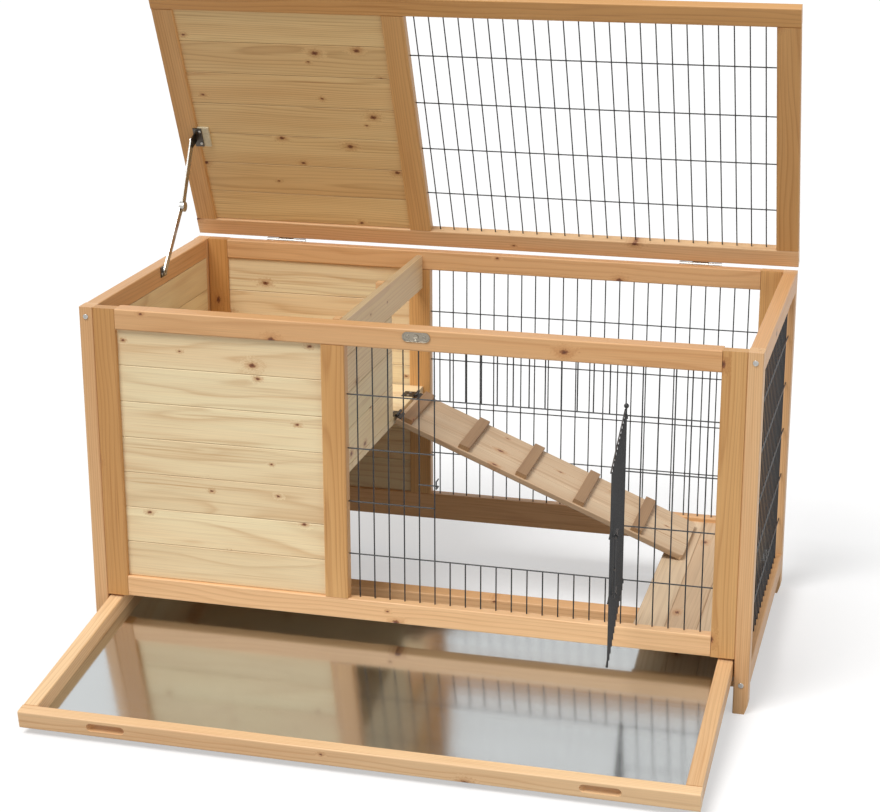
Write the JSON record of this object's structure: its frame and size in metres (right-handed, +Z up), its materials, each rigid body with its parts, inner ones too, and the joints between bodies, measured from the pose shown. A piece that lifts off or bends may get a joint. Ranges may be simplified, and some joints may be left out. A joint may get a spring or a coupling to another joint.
{
  "type": "small animal cage",
  "caption": "Wooden two-level cage for small animals, with wire panels, a hinged lid on a folding stay, a wire door, an inside ramp and a pull-out metal tray.",
  "frame": {"origin": "on the floor, in the middle between the four legs", "axes": "+X to the right along the width, +Y from the front with the door and the tray to the back, +Z up"},
  "size_m": [1.12, 0.9216, 1.0809],
  "materials": {
    "stained_fir": "satin",
    "pale_fir_boards": "matte",
    "pale_fir_cleats": "matte",
    "black_wire": "satin",
    "bright_wire": "satin",
    "galvanised_sheet": "bright",
    "zinc_hardware": "satin",
    "black_hinges": "satin",
    "bronze_plate": "satin",
    "white_nylon": "matte"
  },
  "bodies": {
    "cabinet": {"leg_front_left": "stained_fir", "leg_front_right": "stained_fir", "leg_rear_left": "stained_fir", "leg_rear_right": "stained_fir", "side_rail_top_left": "stained_fir", "side_rail_bottom_left": "stained_fir", "side_rail_top_right": "stained_fir", "side_rail_bottom_right": "stained_fir", "front_rail_top": "stained_fir", "front_rail_bottom": "stained_fir", "front_stile_left": "stained_fir", "front_stile_mid": "stained_fir", "front_stile_right": "stained_fir", "rear_rail_top": "stained_fir", "rear_rail_bottom": "stained_fir", "rear_stile_left": "stained_fir", "rear_stile_mid": "stained_fir", "rear_stile_right": "stained_fir", "divider_battens": "stained_fir", "upper_floor_battens": "stained_fir", "platform_ledgers": "stained_fir", "tray_runners": "stained_fir", "side_boards_left": "pale_fir_boards", "front_boards": "pale_fir_boards", "rear_boards": "pale_fir_boards", "divider_boards": "pale_fir_boards", "upper_floor_boards": "pale_fir_boards", "platform_boards": "pale_fir_boards", "side_mesh_right": "black_wire", "front_mesh": "black_wire", "rear_mesh": "black_wire", "door_catch": "black_wire", "door_hinge_eyes": "black_wire", "frame_screws": "zinc_hardware", "latch_plate": "bronze_plate", "lid_hinge_frame_leaf": "zinc_hardware", "stay_foot_bracket": "zinc_hardware", "ramp_hinge_floor_leaf": "black_hinges"},
    "lid": {"lid_rail_front": "stained_fir", "lid_rail_rear": "stained_fir", "lid_stile_left": "stained_fir", "lid_stile_mid": "stained_fir", "lid_stile_right": "stained_fir", "lid_boards": "pale_fir_boards", "lid_mesh": "black_wire", "lid_hinge_lid_leaf": "zinc_hardware", "stay_head_bracket": "zinc_hardware"},
    "stay_bar_lower": {"stay_bar_lower": "zinc_hardware"},
    "stay_bar_upper": {"stay_bar_upper": "zinc_hardware"},
    "tray_rollers": {"tray_rollers": "white_nylon"},
    "tray": {"tray_rail_front": "stained_fir", "tray_rail_left": "stained_fir", "tray_rail_right": "stained_fir", "tray_rail_rear": "stained_fir", "tray_sheet": "galvanised_sheet"},
    "door_leaf": {"door_leaf": "black_wire"},
    "door_latch": {"door_latch": "bright_wire"},
    "ramp": {"ramp_boards": "pale_fir_boards", "ramp_cleats": "pale_fir_cleats", "ramp_hinge_ramp_leaf": "black_hinges"}
  },
  "joints": [
    {"name": "lid", "type": "hinge", "parent": "cabinet", "child": "lid", "pos_m": [0, 0.2763, 0.5995], "axis": [1, 0, 0], "range_deg": [0, 66.6]},
    {"name": "stay_lower", "type": "hinge", "parent": "cabinet", "child": "stay_bar_lower", "pos_m": [-0.53235, 0.032, 0.589], "axis": [1, 0, 0], "range_deg": [-113.5, 0]},
    {"name": "stay_upper", "type": "hinge", "parent": "lid", "child": "stay_bar_upper", "pos_m": [-0.52945, 0.17594, 0.79742], "axis": [1, 0, 0], "range_deg": [-24.2, 0]},
    {"name": "tray_tip", "type": "hinge", "parent": "cabinet", "child": "tray_rollers", "pos_m": [0, -0.255, 0.05545], "axis": [-1, 0, 0], "range_deg": [0, 7.7]},
    {"name": "tray_slide", "type": "slide", "parent": "tray_rollers", "child": "tray", "axis": [0, 0.991, 0.134], "range_m": [0, 0.357]},
    {"name": "door", "type": "hinge", "parent": "cabinet", "child": "door_leaf", "pos_m": [0.352, -0.268, 0.344], "axis": [0, 0, 1], "range_deg": [-96, 60]},
    {"name": "door_latch", "type": "slide", "parent": "door_leaf", "child": "door_latch", "axis": [0.1045, -0.9945, 0], "range_m": [0, 0.012]},
    {"name": "ramp", "type": "hinge", "parent": "cabinet", "child": "ramp", "pos_m": [-0.115, 0.1355, 0.3446], "axis": [0, -1, 0], "range_deg": [0, 45]}
  ],
  "couplings": [
    {"joint": "stay_lower", "follows": "lid", "ratio": -1.6953},
    {"joint": "stay_upper", "follows": "lid", "ratio": -0.35558},
    {"joint": "tray_tip", "follows": "tray_slide", "rad_per_m": 0.37644}
  ]
}
